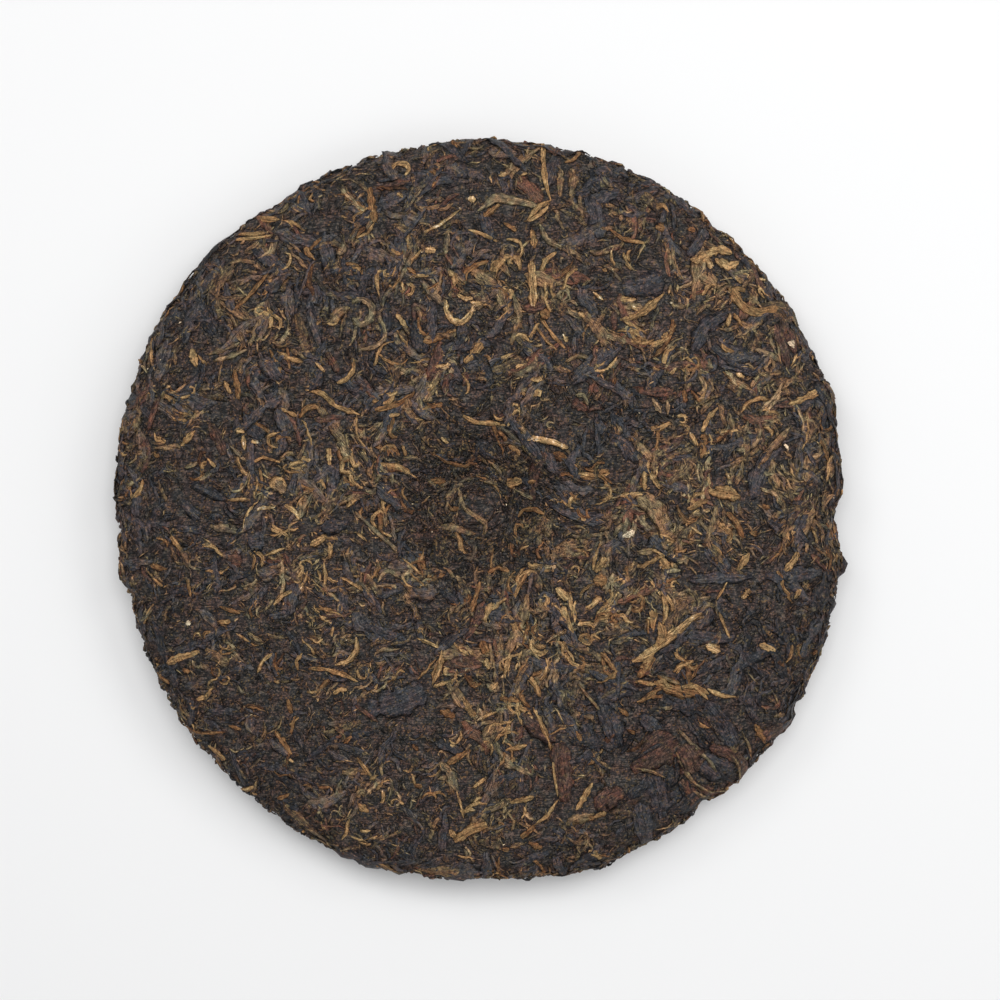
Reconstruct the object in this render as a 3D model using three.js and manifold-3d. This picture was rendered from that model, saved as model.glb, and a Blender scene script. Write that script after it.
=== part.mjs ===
// A pressed pu erh tea cake: a round of compressed tea leaves that lies on its domed face,
// with the dimpled face up. Leaves show on both faces and on the crumbly rim.
// Millimetres, +Z up. The origin is the middle of the flat spot that it rests on,
// and +Y points to the top of the dimpled face.
import * as THREE from "three";
import { mergeVertices } from "three/addons/utils/BufferGeometryUtils.js";
import Module from "manifold-3d";

// The cake's own sizes
const DIAMETER = 200;
const THICKNESS = 22; // up to the broad ring round the dimple
const RIM_HEIGHT = 10; // where the outline is widest
const RESTING_WIDTH = 80; // flat spot under the dome
const UPPER_FULLNESS = 5; // a higher power gives a flatter face and a tighter shoulder
const LOWER_FULLNESS = 2.6;
const DIMPLE = { width: 54, depth: 7, middle: [-0.8, 2.7] };

// Slow swells of the outline: how many, mm outwards, and the bearing of one in degrees
const OUTLINE_SWELLS = [
  { count: 2, out: 0.92, bearing: 108 },
  { count: 3, out: 0.47, bearing: 46 },
  { count: 4, out: 0.48, bearing: 55 },
];

// Chips (negative) and proud clumps (positive) along the edge:
// bearing and half width in degrees, mm outwards
const EDGE_MARKS = [
  { bearing: 359, reach: 3, out: -2.7 },
  { bearing: 19, reach: 5, out: 1.4 },
  { bearing: 32, reach: 2, out: 0.7 },
  { bearing: 50, reach: 7, out: -0.7 },
  { bearing: 91, reach: 5, out: 0.9 },
  { bearing: 124, reach: 6, out: -0.9 },
  { bearing: 136, reach: 4, out: 0.5 },
  { bearing: 151, reach: 5, out: 0.4 },
  { bearing: 183, reach: 3, out: -0.7 },
  { bearing: 190, reach: 2, out: 0.7 },
  { bearing: 194, reach: 2, out: -1.3 },
  { bearing: 217, reach: 3, out: 0.5 },
  { bearing: 251, reach: 4, out: 0.8 },
  { bearing: 270, reach: 6, out: -0.7 },
  { bearing: 288, reach: 4, out: 1.2 },
  { bearing: 307, reach: 2.5, out: -1.6 },
  { bearing: 325, reach: 2, out: 1.4 },
  { bearing: 355, reach: 2, out: -0.9 },
];
const SHOULDER_FLAKE = { bearing: 142, reach: 11, depth: 3.2 }; // where the upper edge has flaked away
const EDGE_TAKES_HOLD = 0.6; // share of the radius inside which the outline's marks fade out
const SHOULDER_STARTS = 0.9;

// Low lumps all over, about as long as a leaf
const LUMP_HEIGHT = 0.2;
const LUMP_LENGTHS = [11, 17, 8];

// How fine the body is
const SHEET_STEPS = 24; // squares across each face
const RIM_STEPS = 6; // rows round the edge
const RIM_ARC = [0.43, 0.61]; // the rim's share of the way from middle to middle
const PROFILE_SAMPLES = 300;
const SHORTEST_EDGE = 0.03;

// Leaves fused to the body
const LEAF_STATIONS = 3; // cross sections between the two tips
const LEAF_EDGE_SINK = 0.2;
const LEAF_ROOT_DEPTH = 1.6;
const LEAF_CREST = 0.95;
const PLACES = { upper: 48, rim: 44, lower: 20 };
const LEAF_LENGTH = [7, 15];
const LEAF_WIDTH = [1.8, 3.4];
const LEAF_CURL = 1.1; // most radians that a leaf turns along its length
const SEED = 358;

// The larger leaves that can be told apart, as points in the picture of the dimpled face
const PICTURE_MIDDLE = [481, 510]; // pixel
const PICTURE_SCALE = 0.272; // mm for each pixel
const SHOWN_LEAVES = [
  { name: "long forked leaf", width: 2.8, through: [[634, 662], [658, 642], [684, 620], [708, 611]] },
  { name: "bent orange leaf", width: 2.4, through: [[722, 296], [732, 309], [750, 320], [772, 315]] },
  { name: "pale fan", width: 3.4, through: [[688, 267], [706, 261], [731, 268]] },
  { name: "grey leaf by the fan", width: 3.4, through: [[683, 259], [691, 249], [697, 240]] },
  { name: "hooked bud", width: 2.0, through: [[447, 302], [447, 313], [459, 325], [470, 317], [474, 306]] },
  { name: "looped bud", width: 1.9, through: [[388, 308], [377, 315], [385, 333], [374, 346], [358, 345]] },
  { name: "upright bud", width: 2.8, through: [[531, 264], [532, 284], [534, 304]] },
  { name: "straight stalk", width: 1.9, through: [[541, 151], [542, 178], [551, 207]] },
  { name: "broad olive leaf", width: 2.9, through: [[476, 217], [498, 206], [530, 214]] },
  { name: "left orange bud", width: 2.4, through: [[375, 195], [372, 212], [377, 231]] },
  { name: "tapered bud", width: 2.4, through: [[376, 410], [396, 406], [416, 391]] },
  { name: "bud above the dimple", width: 2.1, through: [[526, 443], [545, 438], [568, 449]] },
  { name: "bud in the dimple", width: 2.2, through: [[438, 528], [455, 525], [471, 523]] },
  { name: "olive strip", width: 2.0, through: [[622, 319], [644, 309], [660, 297]] },
  { name: "left arch", width: 1.9, through: [[241, 531], [248, 513], [262, 503]] },
  { name: "gold arch", width: 2.1, through: [[253, 512], [272, 507], [290, 510], [299, 521]] },
  { name: "russet strip", width: 2.4, through: [[157, 434], [165, 412], [174, 393]] },
  { name: "russet leaf", width: 3.6, through: [[326, 282], [344, 278], [364, 275]] },
  { name: "dark upright leaf", width: 4.0, through: [[437, 300], [435, 322], [434, 346]] },
  { name: "dark curved leaf", width: 4.4, through: [[756, 502], [766, 472], [781, 446], [800, 424]] },
  { name: "dark cross leaf", width: 4.6, through: [[724, 571], [750, 573], [777, 566]] },
  { name: "dark cross leaf at the edge", width: 4.2, through: [[782, 572], [800, 572], [815, 566]] },
  { name: "crumpled tan leaf", width: 3.8, through: [[655, 684], [680, 689], [704, 692], [724, 691]] },
  { name: "right gold leaf", width: 2.8, through: [[786, 411], [796, 400], [810, 392]] },
  { name: "broad brown fold", width: 5.0, through: [[640, 760], [655, 749], [670, 737]] },
  { name: "brown fold beside it", width: 4.4, through: [[676, 738], [683, 753], [692, 764]] },
  { name: "long fold round the edge", width: 3.0, through: [[674, 766], [688, 783], [710, 788], [738, 771]] },
  { name: "purple leaf", width: 5.0, through: [[562, 738], [563, 762], [562, 786]] },
  { name: "gold leaf low down", width: 3.4, through: [[460, 830], [474, 823], [489, 816]] },
  { name: "smooth dark leaf", width: 7.5, through: [[366, 708], [396, 703], [424, 690]] },
  { name: "crooked bud", width: 2.0, through: [[334, 666], [352, 659], [358, 647], [355, 636]] },
  { name: "twisted stalk", width: 1.9, through: [[438, 650], [441, 666], [425, 688]] },
  { name: "broad tan leaf", width: 3.2, through: [[432, 738], [446, 732], [460, 726]] },
  { name: "leaning bud", width: 2.4, through: [[462, 696], [468, 709], [476, 723]] },
  { name: "slanting bud", width: 2.1, through: [[522, 668], [533, 682], [541, 696]] },
  { name: "lower stalk", width: 2.2, through: [[519, 829], [536, 815], [554, 798]] },
  { name: "left low stalk", width: 1.9, through: [[188, 722], [206, 727], [229, 726]] },
  { name: "small stalk", width: 1.8, through: [[170, 662], [186, 656], [203, 650]] },
];

const degrees = THREE.MathUtils.degToRad;
const random = seeded(SEED);

// The same run of numbers from 0 to 1 each time
function seeded(seed) {
  let state = seed;
  return () => {
    state = (state + 0x6d2b79f5) | 0;
    let t = Math.imul(state ^ (state >>> 15), 1 | state);
    t = (t + Math.imul(t ^ (t >>> 7), 61 | t)) ^ t;
    return ((t ^ (t >>> 14)) >>> 0) / 4294967296;
  };
}

const between = ([low, high]) => low + (high - low) * random();

// A bump of height 1 that dies away on both sides of a bearing
function bell(angle, { bearing, reach }) {
  const off = Math.atan2(Math.sin(angle - degrees(bearing)), Math.cos(angle - degrees(bearing)));
  return Math.exp(-((off / degrees(reach)) ** 2));
}

// Radius of the outline at a bearing in radians
function outline(angle) {
  let radius = DIAMETER / 2;
  for (const { count, out, bearing } of OUTLINE_SWELLS) {
    radius += out * Math.cos(count * (angle - degrees(bearing)));
  }
  for (const mark of EDGE_MARKS) {
    radius += mark.out * bell(angle, mark);
  }
  return radius;
}

// Depth of the dimple at a place on the upper face
function dimpleDepth(x, y) {
  const away = Math.hypot(x - DIMPLE.middle[0], y - DIMPLE.middle[1]) / (DIMPLE.width / 2);
  return away < 1 ? DIMPLE.depth * (0.5 + 0.5 * Math.cos(Math.PI * away)) : 0;
}

function lumps(x, y, z) {
  const [a, b, c] = LUMP_LENGTHS.map((length) => (2 * Math.PI) / length);
  const across = Math.sin(a * x + 1.7 * Math.sin(b * y));
  const along = Math.sin(c * (y + z) + 1.3 * Math.sin(b * x));
  return LUMP_HEIGHT * (across + along);
}

// A place on the cake's skin. turn runs from 0 at the middle of the upper face,
// through a quarter turn at the widest part, to a half turn at the middle of the underside.
function skin(turn, angle) {
  const upper = turn < Math.PI / 2;
  const fullness = upper ? UPPER_FULLNESS : LOWER_FULLNESS;
  const share = Math.pow(Math.max(Math.sin(turn), 0), 2 / fullness); // of the radius
  const edge = THREE.MathUtils.smoothstep(share, EDGE_TAKES_HOLD, 1);
  const radius = share * THREE.MathUtils.lerp(DIAMETER / 2, outline(angle), edge);
  const x = radius * Math.cos(angle);
  const y = radius * Math.sin(angle);
  let z;
  if (upper) {
    const flaked = SHOULDER_FLAKE.depth * bell(angle, SHOULDER_FLAKE);
    const shoulder = THREE.MathUtils.smoothstep(share, SHOULDER_STARTS, 1);
    const rise = (THICKNESS - RIM_HEIGHT) * Math.cos(turn);
    z = RIM_HEIGHT + rise - dimpleDepth(x, y) - flaked * shoulder * Math.cos(turn);
  } else {
    const flat = 1 - Math.sqrt(1 - Math.pow(RESTING_WIDTH / DIAMETER, LOWER_FULLNESS));
    const sunk = (RIM_HEIGHT * flat) / (1 - flat); // how much of the dome the flat spot cuts off
    z = Math.max((RIM_HEIGHT + sunk) * (1 + Math.cos(turn)) - sunk, 0);
  }
  return new THREE.Vector3(x, y, z);
}

// Turns at even steps of length along the round trip from middle to middle, and the trip's length
const trip = (() => {
  const turns = [];
  const lengths = [0];
  for (let i = 0; i <= PROFILE_SAMPLES; i++) turns.push((Math.PI * i) / PROFILE_SAMPLES);
  for (let i = 1; i <= PROFILE_SAMPLES; i++) {
    const step = skin(turns[i], 0).distanceTo(skin(turns[i - 1], 0));
    lengths.push(lengths[i - 1] + step);
  }
  return { turns, lengths, whole: lengths[PROFILE_SAMPLES] };
})();

// The turn at a share of the trip from 0 to 1
function turnAt(share) {
  const wanted = share * trip.whole;
  let i = 1;
  while (i < PROFILE_SAMPLES && trip.lengths[i] < wanted) i++;
  const part = (wanted - trip.lengths[i - 1]) / (trip.lengths[i] - trip.lengths[i - 1]);
  return THREE.MathUtils.lerp(trip.turns[i - 1], trip.turns[i], part);
}

// A place on the skin, with its lumps, and the direction straight out of it. The flat spot has no lumps.
function skinFrame(turn, angle) {
  const small = 0.01;
  const place = skin(turn, angle);
  const along = skin(Math.min(turn + small, Math.PI), angle).sub(skin(Math.max(turn - small, 0), angle));
  const round = skin(turn, angle + small).sub(skin(turn, angle - small));
  const out = along.cross(round).normalize();
  if (!(out.length() > 0.5) || Math.sin(turn) < small) out.set(0, 0, Math.cos(turn) > 0 ? 1 : -1);
  const free = turn < Math.PI / 2 ? 1 : THREE.MathUtils.smoothstep(place.z, 0, 1);
  place.addScaledVector(out, free * lumps(place.x, place.y, place.z));
  place.z = Math.max(place.z, 0);
  return { place, out };
}

// The point of a disc that a point of the square from -1 to 1 goes to:
// its share of the radius and its angle
function squareToDisc(a, b) {
  if (a === 0 && b === 0) return [0, 0];
  if (Math.abs(a) >= Math.abs(b)) return [Math.abs(a), (Math.PI / 4) * (b / a) + (a < 0 ? Math.PI : 0)];
  return [Math.abs(b), Math.PI / 2 - (Math.PI / 4) * (a / b) + (b < 0 ? Math.PI : 0)];
}

// A grid of places as triangles
function pushGrid(triangles, rows) {
  for (let i = 0; i + 1 < rows.length; i++)
    for (let j = 0; j + 1 < rows[i].length; j++) {
      const [a, b, c, d] = [rows[i][j], rows[i + 1][j], rows[i + 1][j + 1], rows[i][j + 1]];
      triangles.push(a, b, c, a, c, d);
    }
}

// One face of the cake, from its middle out to a share of the trip
function faceRows(shareAtMiddle, shareAtEdge) {
  const rows = [];
  for (let i = 0; i <= SHEET_STEPS; i++) {
    rows.push([]);
    for (let j = 0; j <= SHEET_STEPS; j++) {
      const [out, angle] = squareToDisc((2 * i) / SHEET_STEPS - 1, (2 * j) / SHEET_STEPS - 1);
      const turn = turnAt(THREE.MathUtils.lerp(shareAtMiddle, shareAtEdge, out));
      rows[i].push(skinFrame(turn, angle).place);
    }
  }
  return rows;
}

// The rim between the two faces, with the same bearings as their borders
function rimRows() {
  const across = Array.from({ length: SHEET_STEPS }, (_, i) => (2 * i) / SHEET_STEPS - 1);
  const border = [
    ...across.map((t) => [t, -1]),
    ...across.map((t) => [1, t]),
    ...across.map((t) => [-t, 1]),
    ...across.map((t) => [-1, -t]),
  ];
  border.push(border[0]);
  return border.map(([a, b]) => {
    const angle = squareToDisc(a, b)[1];
    const turns = Array.from({ length: RIM_STEPS + 1 }, (_, k) =>
      turnAt(THREE.MathUtils.lerp(RIM_ARC[0], RIM_ARC[1], k / RIM_STEPS)),
    );
    return turns.map((turn) => skinFrame(turn, angle).place);
  });
}

const wasm = await Module();
wasm.setup();

// A closed solid from corner points, three for each triangle
function solidOf(corners) {
  const loose = new THREE.BufferGeometry().setFromPoints(corners);
  const merged = mergeVertices(loose, 1e-3);
  const vertProperties = merged.attributes.position.array;
  const solid = (triVerts) => new wasm.Manifold(new wasm.Mesh({ numProp: 3, vertProperties, triVerts }));
  const made = solid(new Uint32Array(merged.index.array));
  if (made.volume() > 0) return made;
  return solid(new Uint32Array(merged.index.array).reverse());
}

function body() {
  const corners = [];
  pushGrid(corners, faceRows(0, RIM_ARC[0]));
  pushGrid(corners, faceRows(1, RIM_ARC[1]).map((row) => row.reverse()));
  pushGrid(corners, rimRows().reverse());
  return solidOf(corners);
}

// The place on the skin nearest to a point
function snap(point) {
  const angle = Math.atan2(point.y, point.x);
  let best = 0;
  let bestAway = Infinity;
  for (const turn of trip.turns) {
    const away = skin(turn, angle).distanceToSquared(point);
    if (away < bestAway) [best, bestAway] = [turn, away];
  }
  return skinFrame(best, angle);
}

// A leaf pressed onto the skin along a route: four-sided, widest in the middle,
// with a wavy crest and two tips
function leaf(route, width) {
  const curve = new THREE.CatmullRomCurve3(route);
  const frames = [];
  for (let k = 0; k <= LEAF_STATIONS + 1; k++) {
    frames.push(snap(curve.getPoint(k / (LEAF_STATIONS + 1))));
  }
  const keepUp = (p) => p.setZ(Math.max(p.z, 0));
  const rings = frames.slice(1, -1).map(({ place, out }, k) => {
    const ahead = frames[k + 2].place.clone().sub(frames[k].place).normalize();
    const side = out.clone().cross(ahead).normalize();
    const half = (width / 2) * (0.8 + 0.2 * Math.sin((Math.PI * (k + 1)) / (LEAF_STATIONS + 1)));
    const crest = LEAF_CREST * (k % 2 ? 0.85 : 1.1);
    return [
      place.clone().addScaledVector(side, half).addScaledVector(out, -LEAF_EDGE_SINK),
      place.clone().addScaledVector(out, crest),
      place.clone().addScaledVector(side, -half).addScaledVector(out, -LEAF_EDGE_SINK),
      place.clone().addScaledVector(out, -LEAF_ROOT_DEPTH),
    ].map(keepUp);
  });
  const tip = ({ place, out }) => keepUp(place.clone().addScaledVector(out, -LEAF_EDGE_SINK));
  const [first, last] = [tip(frames[0]), tip(frames[LEAF_STATIONS + 1])];
  const corners = [];
  const sides = rings[0].length;
  for (let i = 0; i < sides; i++) {
    const j = (i + 1) % sides;
    corners.push(first, rings[0][i], rings[0][j]);
    corners.push(last, rings[rings.length - 1][j], rings[rings.length - 1][i]);
  }
  pushGrid(corners, rings.map((ring) => [...ring, ring[0]]));
  return solidOf(corners);
}

// A curled route of a leaf's length that starts from a place on the skin
function scatteredRoute(turn, angle) {
  const { place, out } = skinFrame(turn, angle);
  const round = new THREE.Vector3(-Math.sin(angle), Math.cos(angle), 0);
  const up = out.clone().cross(round);
  const length = between(LEAF_LENGTH);
  const curl = LEAF_CURL * (random() - 0.5);
  let heading = 2 * Math.PI * random();
  const onRim = place.z > 0 && Math.abs(out.z) < 0.75;
  if (onRim) heading = 0.5 * (random() - 0.5); // along the edge
  const points = [place];
  for (let k = 1; k <= LEAF_STATIONS; k++) {
    heading += curl / LEAF_STATIONS;
    const step = round.clone().multiplyScalar(Math.cos(heading)).addScaledVector(up, Math.sin(heading));
    points.push(points[k - 1].clone().addScaledVector(step, length / LEAF_STATIONS));
  }
  return points;
}

// Places spread evenly over a face as a sunflower's seeds are, between two shares of the radius
function sunflower(count, inner, outer, upper) {
  const goldenAngle = Math.PI * (3 - Math.sqrt(5));
  return Array.from({ length: count }, (_, i) => {
    const share = Math.sqrt(THREE.MathUtils.lerp(inner ** 2, outer ** 2, (i + 0.5) / count));
    const fullness = upper ? UPPER_FULLNESS : LOWER_FULLNESS;
    const turn = Math.asin(Math.pow(share, fullness / 2));
    return [upper ? turn : Math.PI - turn, i * goldenAngle];
  });
}

function allLeaves() {
  const solids = SHOWN_LEAVES.map(({ through, width }) => {
    const route = through.map(([px, py]) => {
      const x = (px - PICTURE_MIDDLE[0]) * PICTURE_SCALE;
      const y = (PICTURE_MIDDLE[1] - py) * PICTURE_SCALE;
      return new THREE.Vector3(x, y, THICKNESS - dimpleDepth(x, y));
    });
    return leaf(route, width);
  });
  const rim = Array.from({ length: PLACES.rim }, (_, i) => [
    turnAt(between(RIM_ARC)),
    (2 * Math.PI * (i + random())) / PLACES.rim,
  ]);
  const clearOfFlatSpot = (RESTING_WIDTH / 2 + LEAF_LENGTH[1]) / (DIAMETER / 2);
  const places = [
    ...sunflower(PLACES.upper, 0.1, 0.95, true),
    ...rim,
    ...sunflower(PLACES.lower, clearOfFlatSpot, 0.95, false),
  ];
  for (const [turn, angle] of places) {
    solids.push(leaf(scatteredRoute(turn, angle), between(LEAF_WIDTH)));
  }
  return solids;
}

// Body and leaves as one piece, without scraps or edges too short to matter
function pressedCake() {
  const whole = wasm.Manifold.union([body(), ...allLeaves()]).simplify(SHORTEST_EDGE);
  const pieces = whole.decompose().sort((a, b) => b.volume() - a.volume());
  return pieces[0];
}

function meshOf(solid, name, material) {
  const { vertProperties, triVerts, numProp } = solid.getMesh();
  const positions = new Float32Array((vertProperties.length / numProp) * 3);
  for (let i = 0; i < positions.length / 3; i++) {
    positions.set(vertProperties.subarray(i * numProp, i * numProp + 3), i * 3);
  }
  const geometry = new THREE.BufferGeometry();
  geometry.setAttribute("position", new THREE.BufferAttribute(positions, 3));
  geometry.setIndex(new THREE.BufferAttribute(new Uint32Array(triVerts), 1));
  const mesh = new THREE.Mesh(geometry, material);
  mesh.name = name;
  return mesh;
}

const teaLeaves = new THREE.MeshStandardMaterial({ color: 0x4c4139, roughness: 0.8, metalness: 0 });

const cake = new THREE.Group();
cake.name = "pu_erh_tea_cake";
cake.add(meshOf(pressedCake(), "tea_cake", teaLeaves));

export default cake;
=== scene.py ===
# %% [markdown]
# # A pressed cake of pu erh tea
#
# The real thing is a round cake, two hands wide, of dark fermented tea leaves. They are steamed in a
# cloth bag and pressed under a stone, so each leaf is flattened against its neighbours and still keeps
# its own twist, colour and edge. The knot of the bag leaves a dimple in the middle of one face.
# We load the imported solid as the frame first. Everything is then laid on the same skin, in millimetres,
# and turned to metres only when a mesh is made.

# %% Load the frame
import itertools
import math

import bpy
import numpy as np
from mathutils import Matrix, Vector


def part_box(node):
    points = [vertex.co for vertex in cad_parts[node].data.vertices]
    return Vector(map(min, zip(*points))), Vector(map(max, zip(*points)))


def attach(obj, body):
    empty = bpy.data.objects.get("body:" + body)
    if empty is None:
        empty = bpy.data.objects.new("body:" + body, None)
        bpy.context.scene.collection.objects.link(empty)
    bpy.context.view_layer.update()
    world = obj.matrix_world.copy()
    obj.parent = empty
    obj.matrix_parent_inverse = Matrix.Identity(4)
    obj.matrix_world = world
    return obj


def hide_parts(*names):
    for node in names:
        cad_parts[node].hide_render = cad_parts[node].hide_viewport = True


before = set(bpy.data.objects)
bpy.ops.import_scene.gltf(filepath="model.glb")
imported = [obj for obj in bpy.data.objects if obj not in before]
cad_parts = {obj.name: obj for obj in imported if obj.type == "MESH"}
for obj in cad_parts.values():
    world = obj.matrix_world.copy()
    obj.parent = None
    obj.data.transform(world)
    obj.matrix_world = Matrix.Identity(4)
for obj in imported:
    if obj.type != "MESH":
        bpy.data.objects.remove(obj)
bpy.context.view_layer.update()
MM = 0.001
box_low, box_high = (np.array(corner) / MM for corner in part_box("tea_cake"))
width, depth, height = box_high - box_low
print(f"the solid cake is {width:.1f} x {depth:.1f} x {height:.1f} mm")

rng = np.random.default_rng(357)

# %% [markdown]
# ## The cake's skin
#
# A pressed cake is nearly flat on top, with a tight shoulder, and softly domed underneath. A formula
# gives every point of that skin from two numbers: `turn`, from the middle of the top round the edge to the
# middle of the underside, and `angle`, the bearing. A sculpted mesh could give it too, but with a formula
# each leaf can ask where the skin is and which way is out. The outline's swells and chips are the solid's.

# %% Sizes of the cake, in millimetres
FACET_LOSS = 1.007  # the solid's flat facets cut this much off the round outline
RADIUS = FACET_LOSS * (width + depth) / 4
LEAVES_ABOVE = 1.38  # crests of the solid's leaves over the broad ring round the dimple
THICKNESS = height - LEAVES_ABOVE
RIM_HEIGHT = THICKNESS / 2.2
RESTING_SHARE = 0.4  # of the radius: the flat spot underneath
UPPER_FULLNESS, LOWER_FULLNESS = 5, 2.6
DIMPLE_WIDTH, DIMPLE_DEPTH, DIMPLE_MIDDLE = 0.27 * 2 * RADIUS, 7, (-0.8, 2.7)
OUTLINE_SWELLS = ((2, 0.92, 108), (3, 0.47, 46), (4, 0.48, 55))  # how many, mm out, bearing of one
EDGE_MARKS = (  # bearing and half width in degrees, mm out
    (359, 3, -2.7), (19, 5, 1.4), (32, 2, 0.7), (50, 7, -0.7), (91, 5, 0.9), (124, 6, -0.9),
    (136, 4, 0.5), (151, 5, 0.4), (183, 3, -0.7), (190, 2, 0.7), (194, 2, -1.3), (217, 3, 0.5),
    (251, 4, 0.8), (270, 6, -0.7), (288, 4, 1.2), (307, 2.5, -1.6), (325, 2, 1.4), (355, 2, -0.9),
)
SHOULDER_FLAKE = (142, 11, 3.2)  # bearing, half width, and the depth to which the upper edge flaked
LUMP_HEIGHT, LUMP_LENGTHS = 0.2, (11, 17, 8)
EDGE_CRUMBLE, CRUMBLE_SIZE = 0.55, 1.7  # how far crumbs stand out of or back from the edge


# %% The skin as a formula
def smoothstep(low, high, value):
    t = np.clip((value - low) / (high - low), 0, 1)
    return t * t * (3 - 2 * t)


def bell(angle, bearing, reach):
    """1 at a bearing, dying away on both sides"""
    off = angle - math.radians(bearing)
    off = np.arctan2(np.sin(off), np.cos(off))
    return np.exp(-((off / math.radians(reach)) ** 2))


def noise(points, size):
    """Smooth noise from -1 to 1 at points (..., 3) in mm, with lumps about size mm wide"""
    cell = np.floor(points / size).astype(np.int64)
    part = points / size - cell
    part = part * part * (3 - 2 * part)
    total = np.zeros(points.shape[:-1])
    for corner in itertools.product((0, 1), repeat=3):
        key = (cell + corner) @ np.array([73856093, 19349663, 83492791])
        key = (key ^ (key >> 13)) * 1274126177
        value = ((key ^ (key >> 16)) & 0xFFFF) / 0x7FFF - 1
        total += value * np.prod(np.where(corner, part, 1 - part), axis=-1)
    return total


def outline(angle):
    radius = RADIUS + sum(out * np.cos(n * (angle - math.radians(b))) for n, out, b in OUTLINE_SWELLS)
    return radius + sum(out * bell(angle, bearing, reach) for bearing, reach, out in EDGE_MARKS)


def dimple(x, y):
    away = np.hypot(x - DIMPLE_MIDDLE[0], y - DIMPLE_MIDDLE[1]) / (DIMPLE_WIDTH / 2)
    return np.where(away < 1, DIMPLE_DEPTH * (0.5 + 0.5 * np.cos(np.pi * np.minimum(away, 1))), 0)


def skin(turn, angle):
    """Points of the cake's skin, (..., 3) in mm"""
    upper = turn < np.pi / 2
    share = np.sin(turn).clip(0) ** (2 / np.where(upper, UPPER_FULLNESS, LOWER_FULLNESS))
    hold = smoothstep(0.6, 1, share)
    radius = share * (RADIUS + hold * (outline(angle) - RADIUS))
    x, y = radius * np.cos(angle), radius * np.sin(angle)
    bearing, reach, flake = SHOULDER_FLAKE
    flaked = flake * bell(angle, bearing, reach) * smoothstep(0.9, 1, share) * np.cos(turn)
    top = RIM_HEIGHT + (THICKNESS - RIM_HEIGHT) * np.cos(turn) - dimple(x, y) - flaked
    flat = 1 - math.sqrt(1 - RESTING_SHARE**LOWER_FULLNESS)
    sunk = RIM_HEIGHT * flat / (1 - flat)
    under = np.maximum((RIM_HEIGHT + sunk) * (1 + np.cos(turn)) - sunk, 0)
    return np.stack([x, y, np.where(upper, top, under)], axis=-1)


TRIP_TURNS = np.linspace(0, np.pi, 1001)
trip_points = skin(TRIP_TURNS, np.zeros_like(TRIP_TURNS))
TRIP_LENGTHS = np.r_[0, np.cumsum(np.linalg.norm(np.diff(trip_points, axis=0), axis=1))]
TRIP_RADII = np.hypot(*trip_points.T[:2])
TOP_REACH = np.interp(np.pi / 2, TRIP_TURNS, TRIP_LENGTHS)
UNDER_REACH = TRIP_LENGTHS[-1] - TOP_REACH
print(f"radius {RADIUS:.1f} mm; over the top to the edge {TOP_REACH:.1f} mm, under it {UNDER_REACH:.1f} mm")

# %% [markdown]
# ### Maps of the two faces
#
# Laying leaves is easier on a flat map. Each face gets one, as an atlas shows a pole of the globe: the
# distance from the map's middle is the true distance over the skin, so a leaf keeps its length wherever
# it lies. `lay` turns a place on a map into a place in space and the direction straight out of the skin.


# %% From a map to the skin
def from_map(spot, upper):
    """Skin points for map places spot (..., 2); upper says for each whether it's the top's map"""
    run = np.hypot(spot[..., 0], spot[..., 1])
    run = np.where(upper, run, TRIP_LENGTHS[-1] - run)
    return skin(np.interp(run, TRIP_LENGTHS, TRIP_TURNS), np.arctan2(spot[..., 1], spot[..., 0]))


def lay(spot, upper):
    """Skin points with the cake's low lumps and crumbly edge, and the unit vectors out of them"""
    step = 0.4
    middle = from_map(spot, upper)
    east = from_map(spot + [step, 0], upper) - from_map(spot - [step, 0], upper)
    north = from_map(spot + [0, step], upper) - from_map(spot - [0, step], upper)
    out = np.cross(east, north) * np.where(upper, 1, -1)[..., None]
    out /= np.linalg.norm(out, axis=-1, keepdims=True)
    a, b, c = (2 * np.pi / length for length in LUMP_LENGTHS)
    x, y, z = middle[..., 0], middle[..., 1], middle[..., 2]
    lumps = np.sin(a * x + 1.7 * np.sin(b * y)) + np.sin(c * (y + z) + 1.3 * np.sin(b * x))
    free = np.where(upper, 1, smoothstep(0, 1, z))
    edge = smoothstep(0.93, 1, np.hypot(x, y) / RADIUS)
    rise = free * LUMP_HEIGHT * lumps + edge * EDGE_CRUMBLE * noise(middle, CRUMBLE_SIZE)
    return middle + out * rise[..., None], out


def stretch(spot, upper):
    """How much longer the map shows a step round the cake than it is"""
    run = np.hypot(spot[..., 0], spot[..., 1])
    radius = np.interp(np.where(upper, run, TRIP_LENGTHS[-1] - run), TRIP_LENGTHS, TRIP_RADII)
    return run / np.maximum(radius, 1e-3)


# %% [markdown]
# ## One way to make every leaf
#
# A rolled tea leaf is a thin strip that curls along its length, thins to both ends, and was pressed flat
# on the side that shows. Curves with a bevel could give strips, but thousands of them are slow and all
# alike. Here whole batches are worked out as arrays: a route on the map, a cross section that tilts and
# wobbles from station to station, and a root below. Each leaf is a closed solid, half sunk in the cake.

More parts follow.
